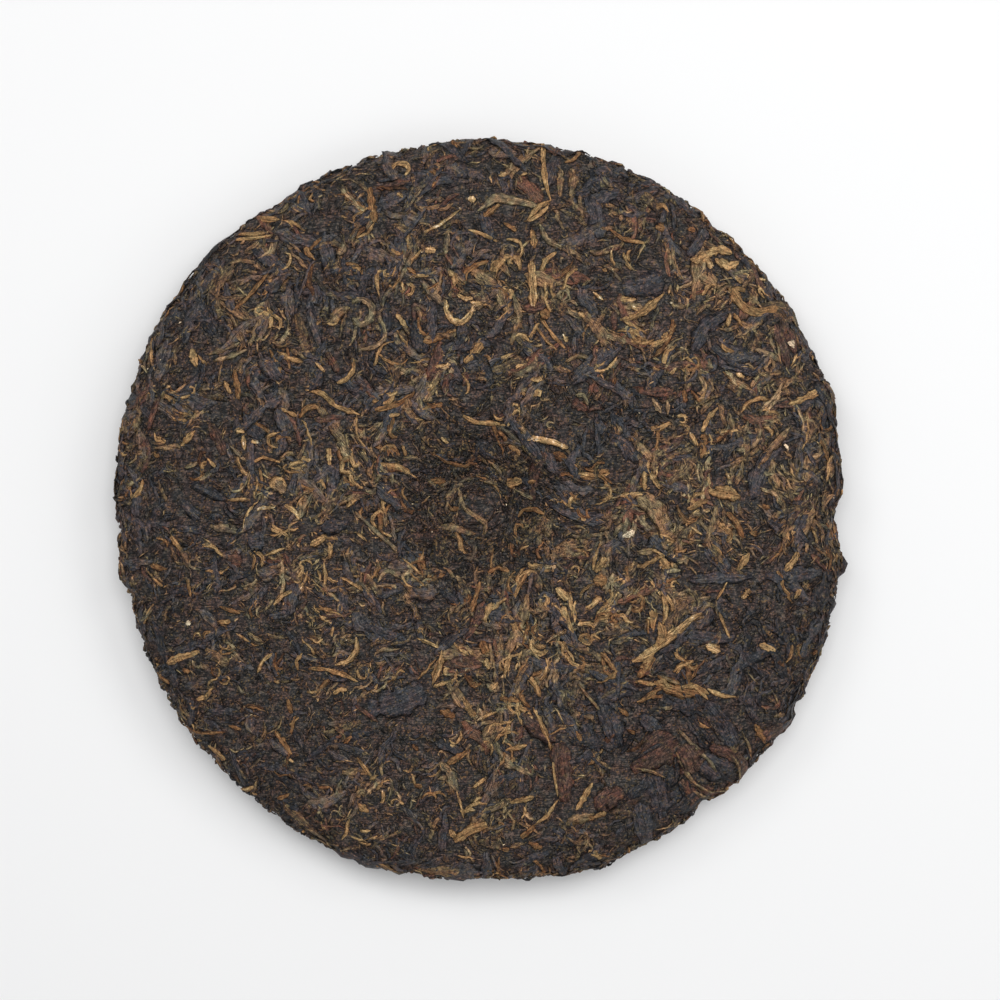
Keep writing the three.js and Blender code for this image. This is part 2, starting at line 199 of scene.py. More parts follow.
# %% Cross sections, across and up, from one edge over the crest to the other and the root below
BROAD = np.array([
    (-1, 0), (-0.72, 0.7), (-0.3, 0.62), (0, 0.95), (0.34, 1), (0.78, 0.72), (1, 0), (0, -0.8)])
MIDDLING = np.array([(-1, 0), (-0.6, 0.8), (0, 1), (0.62, 0.75), (1, 0), (0, -0.8)])
RIBBON = np.array([(-1, 0), (-0.6, 0.85), (0.55, 0.95), (1, 0), (0, -0.8)])
SLIGHT = np.array([(-1, 0), (0, 1), (1, 0), (0, -0.9)])
RAGGED = 0.17  # how much a leaf's width jumps from station to station
LEAF_EDGE_PAINTED_SHADE = 0.2  # a leaf's edges are painted that much darker than its middle: painted shade of the cracks between leaves
SWIRL_SIZE = 26  # mm over which the leaves' heading drifts
SWIRL_REACH = 2.6 * np.pi  # how far it drifts each way
WAVER = 0.2  # radians from station to station
MOST_HOOK = 2.4  # how much more one end curls than the other
BUMPS = 0.05  # mm that stations stand higher or lower
GROUND_GAP = 0.35  # mm over the table below which leaf is pressed together
CELL_MARGIN = 0.06  # of a leaf's cell in the atlas, kept clear of its long faces


def spread(count, inner, outer, jitter=0.75):
    """Map places spread evenly between two distances from the middle, as a sunflower's seeds are"""
    run = np.sqrt(np.linspace(inner**2, outer**2, count))
    angle = np.arange(count) * math.pi * (3 - math.sqrt(5))
    spot = np.stack([run * np.cos(angle), run * np.sin(angle)], axis=-1)
    gap = math.sqrt(math.pi * (outer**2 - inner**2) / count)
    return spot + rng.normal(0, jitter * gap, spot.shape)


def swirl(spot):
    """A heading at each map place that changes slowly over the cake, as hands spread damp leaf in a bag"""
    flat = np.concatenate([spot, np.zeros((len(spot), 1))], axis=-1)
    return SWIRL_REACH * noise(flat + 300, SWIRL_SIZE)


def routes(spot, upper, heading, length, curl, stations):
    """Map places along each leaf, (leaves, stations, 2): a hook about its middle, with a slight waver"""
    t = np.linspace(-0.5, 0.5, stations)
    waver = rng.normal(0, WAVER, (len(spot), stations))
    hook = rng.uniform(-MOST_HOOK, MOST_HOOK, (len(spot), 1))
    bearing = heading[:, None] + curl[:, None] * (t + hook * t**2) + waver
    step = (length / (stations - 1))[:, None]
    across = np.cumsum(step * np.cos(bearing), axis=1)
    along = np.cumsum(step * np.sin(bearing), axis=1)
    off = np.stack([across, along], axis=-1)
    off -= off.mean(axis=1, keepdims=True)
    outward = spot / np.maximum(np.linalg.norm(spot, axis=-1, keepdims=True), 1e-6)
    round_it = np.stack([-outward[:, 1], outward[:, 0]], axis=-1)
    out_part = (off * outward[:, None]).sum(-1, keepdims=True)
    round_part = (off * round_it[:, None]).sum(-1, keepdims=True) * stretch(spot, upper)[:, None, None]
    return spot[:, None] + out_part * outward[:, None] + round_part * round_it[:, None]


def leaves(route, upper, wide, thick, lift, tint, section):
    """Closed leaf solids along routes, as the arrays that a mesh needs"""
    count, stations = route.shape[:2]
    sides = len(section)
    t = np.linspace(0, 1, stations)
    skew = rng.uniform(0.6, 1.6, (count, 1))
    bluntness = rng.uniform(0.15, 0.55, (count, 1))
    taper = np.clip(4 * t**skew * (1 - t**skew), 0.03, 1) ** bluntness
    ragged = 1 + rng.normal(0, RAGGED, (count, stations, 1))
    middle, out = lay(route, np.broadcast_to(upper[:, None], route.shape[:2]))
    ahead = np.gradient(middle, axis=1)
    ahead /= np.maximum(np.linalg.norm(ahead, axis=-1, keepdims=True), 1e-6)
    side = np.cross(out, ahead)
    side /= np.maximum(np.linalg.norm(side, axis=-1, keepdims=True), 1e-6)
    shape = section[None, None] * np.ones((count, stations, 1, 1))
    shape = shape * rng.uniform(0.72, 1.25, (count, 1, sides, 2))
    shape = shape + rng.normal(0, 0.09, shape.shape)
    across = shape[..., 0] * (wide[:, None] / 2 * taper)[..., None] * ragged
    up = shape[..., 1] * (thick[:, None] * (0.35 + 0.65 * taper))[..., None]
    roll = rng.normal(0, 0.14, (count, 1)) + rng.normal(0, 0.3, (count, 1)) * (t - 0.5)
    turned = across * np.cos(roll)[..., None] - up * np.sin(roll)[..., None]
    raised = across * np.sin(roll)[..., None] + up * np.cos(roll)[..., None]
    rise = lift[:, None] * (0.25 + 0.75 * np.sin(np.pi * t)) + rng.normal(0, BUMPS, (count, stations))
    points = middle[:, :, None] + side[:, :, None] * turned[..., None]
    points = points + out[:, :, None] * (raised + rise[..., None])[..., None]
    points[..., 2] = keep_above_ground(points[..., 2])
    stride = np.linalg.norm(np.diff(middle, axis=1), axis=-1).mean(axis=1)
    along = np.arange(stations) * stride[:, None]
    grain = np.stack([
        np.broadcast_to(along[..., None], across.shape),
        across,
        np.broadcast_to(rng.uniform(0, 900, count)[:, None, None], across.shape),
    ], axis=-1)
    tints = tint[:, None] + rng.normal(0, 0.1, (count, 1)) * (t - 0.5)
    # Painted shade: each section's edge corners get a lower tint, as the shade in the cracks between leaves,
    # and the rest a little higher
    tints = tints[..., None] + LEAF_EDGE_PAINTED_SHADE * (0.3 - (np.abs(section[:, 0]) > 0.9))
    faces, atlas = strip_faces(stations, sides)
    faces = faces[None] + (np.arange(count) * stations * sides)[:, None, None]
    return {
        "points": points.reshape(-1, 3),
        "faces": faces.reshape(-1, 3),
        "tint": tints.reshape(-1),
        "grain": grain.reshape(-1, 3),
        "atlas": np.broadcast_to(atlas, (count, *atlas.shape)),
    }


def keep_above_ground(z):
    """Heights pressed together just over the table, so that none is under it"""
    return np.where(z < GROUND_GAP, GROUND_GAP * np.exp(np.minimum(z - GROUND_GAP, 0) / GROUND_GAP), z)


def strip_faces(stations, sides):
    """Triangles of one leaf, and each corner's place in the leaf's own cell of the picture atlas"""
    faces, places = [], []
    for i, k in itertools.product(range(stations - 1), range(sides)):
        a, b = i * sides + k, i * sides + (k + 1) % sides
        c, d = b + sides, a + sides
        u0, u1 = (CELL_MARGIN + (1 - 2 * CELL_MARGIN) * s / (stations - 1) for s in (i, i + 1))
        v0, v1 = k / sides, (k + 1) / sides
        faces += [(a, b, c), (a, c, d)]
        places += [((u0, v0), (u0, v1), (u1, v1)), ((u0, v0), (u1, v1), (u1, v0))]
    for first, u in ((0, CELL_MARGIN / 2), ((stations - 1) * sides, 1 - CELL_MARGIN / 2)):
        turns = [2 * math.pi * k / sides for k in range(sides)]
        ring = [(u + CELL_MARGIN / 3 * math.cos(a), 0.5 + 0.4 * math.sin(a)) for a in turns]
        for k in range(1, sides - 1):
            order = (0, k + 1, k) if first == 0 else (0, k, k + 1)
            faces.append(tuple(first + n for n in order))
            places.append(tuple(ring[n] for n in order))
    return np.array(faces), np.array(places)


# %% [markdown]
# ### From arrays to a piece
#
# Each kind of leaf becomes one joined mesh. Every leaf carries a `tint`, which picks its colour from the
# kind's range, and `grain`, its own lengthwise coordinates, so that veins and wrinkles follow the leaf.
# A UV map gives each leaf a cell of its own, into which its colours can be baked.


# %% A mesh that rides on the cake
def make_piece(name, parts, material):
    """One joined mesh from several results of leaves()"""
    starts = np.cumsum([0] + [len(part["points"]) for part in parts[:-1]])
    points = np.concatenate([part["points"] for part in parts]) * MM
    faces = np.concatenate([part["faces"] + start for part, start in zip(parts, starts)])
    mesh = bpy.data.meshes.new(name)
    mesh.vertices.add(len(points))
    mesh.vertices.foreach_set("co", points.astype(np.float32).ravel())
    mesh.loops.add(faces.size)
    mesh.loops.foreach_set("vertex_index", faces.astype(np.int32).ravel())
    mesh.polygons.add(len(faces))
    mesh.polygons.foreach_set("loop_start", np.arange(0, faces.size, 3, dtype=np.int32))
    mesh.update(calc_edges=True)
    mesh.shade_smooth()
    tint = np.concatenate([part["tint"] for part in parts])
    mesh.attributes.new("tint", "FLOAT", "POINT").data.foreach_set("value", tint.astype(np.float32))
    grain = np.concatenate([part["grain"] for part in parts])
    grains = mesh.attributes.new("grain", "FLOAT_VECTOR", "POINT")
    grains.data.foreach_set("vector", grain.astype(np.float32).ravel())
    charts = mesh.uv_layers.new(name="OFBake")
    charts.data.foreach_set("uv", atlas_of(parts).astype(np.float32).ravel())
    mesh.materials.append(material)
    piece = bpy.data.objects.new(name, mesh)
    bpy.context.scene.collection.objects.link(piece)
    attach(piece, "root")
    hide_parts("tea_cake")
    print(f"{name}: {len(faces)} triangles")


GUTTER = 0.04  # of a cell, kept clear on each side


def atlas_of(parts):
    """UVs of all corners, with each leaf's cell in its row and column of the atlas"""
    if "chart" in parts[0]:
        return parts[0]["chart"]
    count = sum(len(part["atlas"]) for part in parts)
    columns = max(1, round(math.sqrt(count / 2)))
    rows = math.ceil(count / columns)
    cells, first = [], 0
    for part in parts:
        number = first + np.arange(len(part["atlas"]))
        corner = np.stack([number % columns, number // columns], axis=-1)
        cell = (corner[:, None, None] + GUTTER + (1 - 2 * GUTTER) * part["atlas"]) / [columns, rows]
        cells.append(cell.reshape(-1, 2))
        first += len(part["atlas"])
    return np.concatenate(cells)


# %% [markdown]
# ## Finishes
#
# Dried tea is a plant skin: nearly matt, with a soft satin where rolling has polished it, and fine
# wrinkles along each leaf. An image would show one real cake's leaves, so noise makes them instead, in
# each leaf's own grain coordinates: three or four wrinkles to the millimetre across, and long along it.


# %% Colours and nodes
def linear(hex_colour):
    """An sRGB hex colour as the linear one that Blender uses"""
    parts = [int(hex_colour[i:i + 2], 16) / 255 for i in (1, 3, 5)]
    return [v / 12.92 if v <= 0.04045 else ((v + 0.055) / 1.055) ** 2.4 for v in parts] + [1]


def add(tree, kind, settings=None, links=None):
    """Adds a node, with its settings or socket values, and links from other nodes' outputs"""
    made = tree.nodes.new(kind)
    for name, value in (settings or {}).items():
        if name == "stops":
            made.color_ramp.elements.remove(made.color_ramp.elements[1])
            for n, (place, colour) in enumerate(value):
                stop = made.color_ramp.elements[0] if n == 0 else made.color_ramp.elements.new(place)
                stop.position, stop.color = place, linear(colour)
        elif isinstance(name, int) or name in made.inputs:  # sockets of one name go by number
            made.inputs[name].default_value = value
        else:
            setattr(made, name, value)
    for name, output in (links or {}).items():
        tree.links.new(output, made.inputs[name])
    return made


WRINKLE_WIDTH = 0.28  # mm across the leaf
WRINKLE_LENGTH = 2.6  # mm along it
FOLD_WIDTH = 1.1  # mm across, for the soft folds between veins
CREASE_WIDTH = 1.7  # mm from one crease to the next; each is cut in by bump and painted dark as shade
FOLD_DEPTH, CREASE_DEPTH, WRINKLE_DEPTH = 0.3, 0.15, 0.18  # mm
BLOTCH_SIZE = 1.2  # mm
FLECK_SIZE = 0.43  # mm, for the broken bits pressed into every leaf
FLECK_CONTRAST = 0.32
SPARK = "#94784f"  # the few bits that are crumbs of golden bud
GRIT_SIZE = 0.26  # mm, as fine as the view can show
SHINE = 0.3  # dull for a plant skin, as dust covers it
TONE_SIZE = 3.0  # mm over which leaf drifts from greener to redder
GREENER, REDDER = (0.95, 1.02, 1.0), (1.2, 0.96, 0.9)  # what red, green and blue are multiplied by


def dried_leaf(name, stops, roughness, dust, mottle=0.8, streaks=0.9, dusty=0.55, drift=1.0):
    """A leaf finish: colours by tint, broken up by blotches, wrinkles, flecks, and creases painted dark as
    shade
    """
    material = bpy.data.materials.new(name)
    material.use_nodes = True
    tree = material.node_tree
    tree.nodes.clear()
    tint = add(tree, "ShaderNodeAttribute", {"attribute_name": "tint"})
    grain = add(tree, "ShaderNodeAttribute", {"attribute_name": "grain"}).outputs["Vector"]
    place = add(tree, "ShaderNodeTexCoord").outputs["Object"]

    def along_grain(length, across, detail):
        """Noise drawn out along the leaf, with marks of a length and a width in mm"""
        scale = {"Scale": (1 / length, 1 / across, 1)}
        scaled = add(tree, "ShaderNodeMapping", scale, {"Vector": grain}).outputs["Vector"]
        return add(tree, "ShaderNodeTexNoise", {"Scale": 1, "Detail": detail, "Roughness": 0.65},
                   {"Vector": scaled}).outputs["Fac"]

    def speckle(size, detail=2):
        """Noise without a direction, with spots of a size in mm"""
        return add(tree, "ShaderNodeTexNoise", {"Scale": 1 / (size * MM), "Detail": detail},
                   {"Vector": place}).outputs["Fac"]

    def stretched(value, low, high, to_low, to_high, clamp=True):
        """A value moved from one range to another"""
        return add(tree, "ShaderNodeMapRange",
                   {"From Min": low, "From Max": high, "To Min": to_low, "To Max": to_high,
                    "clamp": clamp},
                   {"Value": value}).outputs["Result"]

    wrinkles = along_grain(WRINKLE_LENGTH, WRINKLE_WIDTH, 3)
    folds = along_grain(2 * WRINKLE_LENGTH, FOLD_WIDTH, 1)
    veins = along_grain(4 * WRINKLE_LENGTH, CREASE_WIDTH, 2)
    blotches = stretched(speckle(BLOTCH_SIZE, 3), 0.3, 0.7, -mottle / 2, mottle / 2)
    ripeness = add(tree, "ShaderNodeMath", {"operation": "ADD"}, {0: tint.outputs["Fac"], 1: blotches})
    colour = add(tree, "ShaderNodeValToRGB", {"stops": stops}, {"Fac": ripeness.outputs["Value"]})
    lines = add(tree, "ShaderNodeMath", {"operation": "MULTIPLY_ADD", 1: 0.7},
                {0: speckle(GRIT_SIZE), 2: wrinkles}).outputs["Value"]
    off_vein = add(tree, "ShaderNodeMath", {"operation": "SUBTRACT", 1: 0.5}, {0: veins})
    off_vein = add(tree, "ShaderNodeMath", {"operation": "ABSOLUTE"}, {0: off_vein.outputs["Value"]})
    # Painted shade: the colour drops to 0.4 of itself along each crease, as the shade in its groove; the same
    # mask is the crease's bump
    crease_depth_and_shade = stretched(off_vein.outputs["Value"], 0.0, 0.035, 0.4, 1.0)
    bits = add(tree, "ShaderNodeTexVoronoi", {"Scale": 1 / (FLECK_SIZE * MM)}, {"Vector": place})
    bits = bits.outputs["Color"]
    shade = add(tree, "ShaderNodeMath", {"operation": "MULTIPLY"},
                {0: stretched(lines, 0.6, 1.1, 1 - streaks, 1 + streaks, False), 1: crease_depth_and_shade})
    shade = add(tree, "ShaderNodeMath", {"operation": "MULTIPLY"},
                {0: shade.outputs["Value"],
                 1: stretched(bits, 0.2, 0.8, 1 - FLECK_CONTRAST, 1 + FLECK_CONTRAST)})
    powdered = add(tree, "ShaderNodeMix", {"data_type": "RGBA", 7: linear(dust)},
                   {0: stretched(bits, 0.64, 0.72, 0.0, dusty), 6: colour.outputs["Color"]})
    powdered = add(tree, "ShaderNodeMix", {"data_type": "RGBA", 7: linear(SPARK)},
                   {0: stretched(bits, 0.16, 0.2, dusty, 0.0), 6: powdered.outputs[2]})
    tone = add(tree, "ShaderNodeMix", {"data_type": "VECTOR", 4: GREENER, 5: REDDER},
               {0: stretched(speckle(TONE_SIZE, 1), 0.38, 0.62, 0.5 - drift / 2, 0.5 + drift / 2)})
    toned = add(tree, "ShaderNodeVectorMath", {"operation": "MULTIPLY"},
                {0: powdered.outputs[2], 1: tone.outputs[1]})
    lined = add(tree, "ShaderNodeVectorMath", {"operation": "SCALE"},
                {0: toned.outputs["Vector"], "Scale": shade.outputs["Value"]})
    soft = add(tree, "ShaderNodeBump", {"Strength": 1.0, "Distance": FOLD_DEPTH * MM}, {"Height": folds})
    cut = add(tree, "ShaderNodeBump", {"Strength": 1.0, "Distance": CREASE_DEPTH * MM},
              {"Height": crease_depth_and_shade, "Normal": soft.outputs["Normal"]})
    relief = add(tree, "ShaderNodeBump", {"Strength": 1.0, "Distance": WRINKLE_DEPTH * MM},
                 {"Height": lines, "Normal": cut.outputs["Normal"]})
    shader = add(tree, "ShaderNodeBsdfPrincipled",
                 {"Roughness": roughness, "IOR": 1.45, "Specular IOR Level": SHINE},
                 {"Base Color": lined.outputs["Vector"], "Normal": relief.outputs["Normal"]})
    add(tree, "ShaderNodeOutputMaterial", {}, {"Surface": shader.outputs["BSDF"]})
    return material


# %% [markdown]
# The leaves' colours come from how ripe each leaf was when it was picked. Old leaves go blue-black to
# brown, stems stay tan, and the youngest buds keep a golden down. Each finish below is one of those kinds.

# %% The kinds of leaf as finishes
# Fermented large leaf: blue-black to dark brown, polished to a soft satin by rolling
DARK_LEAF = dried_leaf("fermented_dark_leaf", [
    (0.0, "#1b1d22"), (0.35, "#2e3037"), (0.65, "#3f3d41"), (0.85, "#4f4744"), (1.0, "#645547")],
    0.48, "#5a4e46", dusty=0.35)
# Riper brown leaf, thinner and drier, more matt
BROWN_LEAF = dried_leaf("oxidised_brown_leaf", [
    (0.0, "#26211e"), (0.3, "#3e342c"), (0.65, "#5d4c3b"), (1.0, "#846e52")], 0.6, "#74613f")
# Leaf that kept some green under the brown
OLIVE_LEAF = dried_leaf("olive_grey_leaf", [
    (0.0, "#322e29"), (0.35, "#564e3f"), (0.7, "#7d6f54"), (1.0, "#a08d6b")], 0.6, "#463e36", dusty=0.4)
# Tender bud with a golden down, matt
GOLDEN_BUD = dried_leaf("downy_golden_bud", [
    (0.0, "#422d20"), (0.2, "#6b4b2e"), (0.45, "#856946"), (0.7, "#9b8058"), (0.92, "#b59b70"),
    (1.0, "#dccdb0")], 0.7, "#6b5034", mottle=0.36, dusty=0.35, drift=0.5)
# Stem and leaf edge that reddened as it dried
RUSSET_LEAF = dried_leaf("reddened_leaf", [
    (0.0, "#271f1d"), (0.5, "#45322c"), (1.0, "#6c4a38")], 0.55, "#624c3e", dusty=0.45)
# Broken leaf and dust between the leaves: every colour of the others, mostly dark
CRUMB = dried_leaf("broken_leaf_crumb", [
    (0.0, "#1b1817"), (0.45, "#312f30"), (0.72, "#4a413c"), (0.88, "#6d5b47"), (0.97, "#917854"),
    (1.0, "#a98f66")], 0.65, "#5c4e44", dusty=0.5)
# Thin shreds of torn leaf, brown to tan
SHRED = dried_leaf("torn_leaf_shred", [
    (0.0, "#262120"), (0.3, "#423a34"), (0.6, "#645543"), (0.85, "#897554"), (1.0, "#a58d67")],
    0.6, "#3a3330")
KINDS = {
    "dark_leaves": DARK_LEAF, "brown_leaves": BROWN_LEAF, "olive_leaves": OLIVE_LEAF,
    "golden_buds": GOLDEN_BUD, "russet_leaves": RUSSET_LEAF,
}
print(f"{len(KINDS)} kinds of leaf, with crumbs and shreds")

# %% [markdown]
# ## The core
#
# Under the leaves that show lies a packed mass of more leaf and dust. It only shows in the cracks, so it
# is one closed mesh over the skin formula, sunk a little, with crumbs as relief. A square grid bent into
# a disc keeps its squares even, where a spoked disc would crowd them at the middle.

# %% The core's mesh
CORE_STEPS = 130  # squares across each face, about a millimetre and a half each
CORE_SINK = 0.3
CRUMB_RELIEF = 0.45


def square_to_disc(a, b):
    """Places of a square from -1 to 1, moved to the unit disc"""
    wide = np.abs(a) >= np.abs(b)
    big = np.where(wide, a, b)
    small = np.where(wide, b, a)
    ratio = small / np.where(big == 0, 1, big) * np.pi / 4
    x, y = big * np.cos(ratio), big * np.sin(ratio)
    return np.where(wide, x, y), np.where(wide, y, x)


def core_part():
    line = np.linspace(-1, 1, CORE_STEPS + 1)
    x, y = square_to_disc(*np.meshgrid(line, line, indexing="ij"))
    disc = np.stack([x, y], axis=-1).reshape(-1, 2)
    number = np.arange((CORE_STEPS + 1) ** 2).reshape(CORE_STEPS + 1, -1)
    corners = number[:-1, :-1], number[1:, :-1], number[1:, 1:], number[:-1, 1:]
    a, b, c, d = (part.ravel() for part in corners)
    top = np.concatenate([np.stack([a, b, c], -1), np.stack([a, c, d], -1)])
    under = top[:, ::-1]
    border = np.hypot(disc[:, 0], disc[:, 1]) > 1 - 1e-9
    own = np.where(border, np.arange(len(disc)), len(disc) + np.cumsum(~border) - 1)  # shared border
    spots = np.concatenate([disc * TOP_REACH, (disc * UNDER_REACH)[~border]])
    upper = np.r_[np.ones(len(disc), bool), np.zeros((~border).sum(), bool)]
    middle, out = lay(spots, upper)
    relief = 0.6 * np.abs(noise(middle, 1.9)) + 0.4 * noise(middle + 50, 3.7)
    points = middle + out * (CRUMB_RELIEF * relief - CORE_SINK)[:, None]
    points[:, 2] = keep_above_ground(points[:, 2])
    disc_in_atlas = 0.292  # the largest radius at which two discs fit in the square, corner to corner
    middles = (top, disc_in_atlas), (under, 1 - disc_in_atlas)
    chart = [disc_in_atlas * disc[face] + place for face, place in middles]
    return {
        "points": points,
        "faces": np.concatenate([top, own[under]]),
        "tint": 0.18 + 0.3 * np.clip(0.5 + 0.5 * noise(middle + 20, 1.3), 0, 1),
        "grain": middle,
        "chart": np.concatenate(chart).reshape(-1, 2),
    }


make_piece("core", [core_part()], CRUMB)

# %% [markdown]
# ## Leaves that can be told apart
#
# A few hundred leaves and buds catch the eye: golden, straw and olive ones, and the large dark ones. The
# near-black ones are painted shadow: darkest leaf laid along crevices and between folded leaves.
# Scattered at random they would never fall in the right places, so each is laid along a route read off
# the picture of the dimpled face, as pixels of a 1000 by 1000 frame. The rest is left to chance.

# %% The picture's frame
PICTURE_MIDDLE = np.array([481, 510])  # pixel where the cake's middle is
VIEW_MIDDLE = np.array([500, 500])
PIXEL = 2 * RADIUS / 735.4  # mm at the height of the rim: the outline is that many pixels across
LENS, SENSOR = 85, 36
CAMERA_RISE = 1000 * PIXEL * LENS / SENSOR  # from the rim's height to the lens
CAMERA_SPOT = (VIEW_MIDDLE - PICTURE_MIDDLE) * PIXEL * [1, -1]


def from_picture(pixels):
    """Map places of the top for pixels (..., 2), as the camera sees them on the upper face"""
    away = (np.asarray(pixels, float) - VIEW_MIDDLE) * PIXEL * [1, -1]
    nearer = 1 - (THICKNESS - RIM_HEIGHT) / CAMERA_RISE
    place = CAMERA_SPOT + away * nearer
    radius = np.maximum(np.hypot(place[..., 0], place[..., 1]), 1e-6)
    upper_half = TRIP_TURNS <= np.pi / 2
    run = np.interp(radius, TRIP_RADII[upper_half], TRIP_LENGTHS[upper_half])
    return place * (run / radius)[..., None]


def along(points, stations):
    """Evenly spaced places on a smooth curve through map places"""
    knots = np.r_[0, np.cumsum(np.linalg.norm(np.diff(points, axis=0), axis=1))]
    fine = np.linspace(0, knots[-1], 8 * stations)
    smooth = np.stack([np.interp(fine, knots, column) for column in points.T], -1)
    for _ in range(2 * stations if len(points) > 2 else 0):
        smooth[1:-1] = (smooth[:-2] + 2 * smooth[1:-1] + smooth[2:]) / 4
    return smooth[np.linspace(0, len(smooth) - 1, stations).round().astype(int)]


# %% [markdown]
# Each entry is a kind of leaf, how wide it looks in pixels, and its route from one end to the other as
# places across and down the picture. They go from the top of the cake to the bottom.

# %% Shown leaves, upper third of the cake
SHOWN_KINDS = {  # the piece each belongs to, and how light it is within its kind
    "gold": ("golden_buds", 0.55), "straw": ("golden_buds", 0.72), "pale": ("golden_buds", 1.3),
    "tan": ("golden_buds", 0.62), "orange": ("golden_buds", 0.24), "olive": ("olive_leaves", 0.6),
    "russet": ("russet_leaves", 0.45), "brown": ("brown_leaves", 0.7), "bronze": ("brown_leaves", 0.75),
    # black: darkest dark leaf, laid as painted shadow along crevices and in the gaps between folded leaves
    "dark": ("dark_leaves", 0.35), "black": ("dark_leaves", -0.3),
}
UPPER_SHOWN = """
tan 4 240,250 258,248 279,243; orange 4 326,243 320,248 313,255; gold 6 246,245 262,243 272,241;
orange 4 284,265 270,285 258,300 240,317; straw 8 201,354 205,371; gold 4 207,360 214,369;
olive 4 220,365 236,359 250,352; olive 4 216,359 230,353 244,346; gold 6 278,352 288,358 303,362;
straw 4 315,362 325,372; gold 5 353,358 354,370 347,379 337,383; russet 8 327,352 333,362 338,372;
orange 6 238,372 240,386 240,400; straw 4 228,383 233,395;
olive 5 352,302 362,299 371,304 373,313 368,322 361,326 352,318;
olive 5 390,308 379,309 378,318 386,330 384,341 370,349 358,349; straw 5 396,314 402,321 408,328;
brown 7 330,325 340,312 350,308; russet 6 172,393 165,410 157,433; orange 7 373,197 374,212 377,228;
tan 3 377,228 370,238 358,243; tan 5 390,183 398,174 408,174 412,180 407,185; straw 4 399,201 405,205;
orange 4 437,191 429,197; orange 5 451,150 458,163; dark 7 481,140 500,158 525,182;
brown 4 502,153 498,165 492,173; straw 5 498,186 506,184; straw 4 519,186 526,184;
tan 5 520,145 535,149 541,156 541,172 544,195 549,208; gold 4 549,208 538,213 526,225;
olive 9 478,217 495,205 515,207 537,213; orange 5 499,211 484,222; straw 3 423,236 440,229 462,215;
straw 5 468,207 476,207; straw 8 425,252 436,252; olive 6 448,235 446,255; tan 4 468,233 482,237 497,243;
orange 4 503,227 516,234; tan 5 531,233 534,250; straw 8 531,262 532,276 533,290 533,306;
tan 5 556,254 545,262 541,275; tan 4 577,270 567,276 563,290; olive 5 538,228 546,243 560,250;
orange 5 464,285 466,272 478,265 490,262; orange 4 407,268 417,275; straw 5 456,294 465,299 474,298;
gold 4 470,302 488,305; straw 6 446,300 445,310 452,322 463,323 471,314 474,305;
olive 7 513,293 518,310 521,322; gold 8 482,343 475,352 465,363; gold 5 483,357 491,359;
gold 4 535,325 545,340 557,350; orange 8 540,312 550,316; gold 4 541,318 552,334 565,348;
straw 4 563,334 567,342; straw 4 578,313 585,317; brown 5 565,362 578,355 592,358; straw 3 593,292 603,300;
dark 11 430,300 431,320 431,345; straw 3 601,271 606,273; orange 5 607,236 620,245 640,250;
gold 4 650,218 656,216 662,222; orange 8 650,236 660,237; orange 5 681,237 689,239;
dark 12 683,262 692,250 700,238; straw 9 687,271 700,262 711,257; tan 8 701,258 714,257 725,261;
straw 7 712,266 722,274 731,269; straw 7 701,265 705,275; gold 6 709,265 717,274; straw 5 685,265 698,269;
straw 4 727,282 734,290; tan 4 693,218 697,230; bronze 5 720,240 732,248 744,257;
bronze 5 771,292 782,309 791,323; russet 6 773,326 774,344; russet 4 764,268 774,283;
bronze 4 785,309 799,328; pale 2 668,304 670,306; pale 2 642,324 644,326; pale 2 757,358 759,359;
black 6 241,241 221,265 203,285; dark 8 238,231 215,252 198,272 182,296; tan 2 229,248 217,262;
olive 4 197,273 189,291 178,305; gold 6 258,225 270,228 284,226;
gold 8 738,296 724,294 729,302 736,312 750,319 773,314; brown 5 747,282 735,294; gold 4 725,318 723,330;
gold 4 728,318 737,330; gold 6 620,320 632,318 645,312 655,302 662,296; straw 3 630,305 638,312;
russet 8 614,311 615,330; russet 6 742,270 750,284 756,297; pale 7 780,347 788,349;
olive 5 750,352 762,358 773,364; straw 4 733,375 741,379; dark 12 722,318 710,325 700,335 693,352;
gold 4 688,207 695,215 698,228; brown 6 558,180 557,194 558,205; brown 8 568,180 570,192 568,205;
dark 16 586,212 600,206 616,204; dark 8 573,153 580,156 588,162; black 7 560,166 571,160;
orange 4 562,173 570,172 576,166 576,158 571,154; russet 5 552,166 555,158 562,154;
dark 22 622,290 640,287 660,282; russet 9 766,330 776,350 782,372; orange 4 786,332 792,350
"""

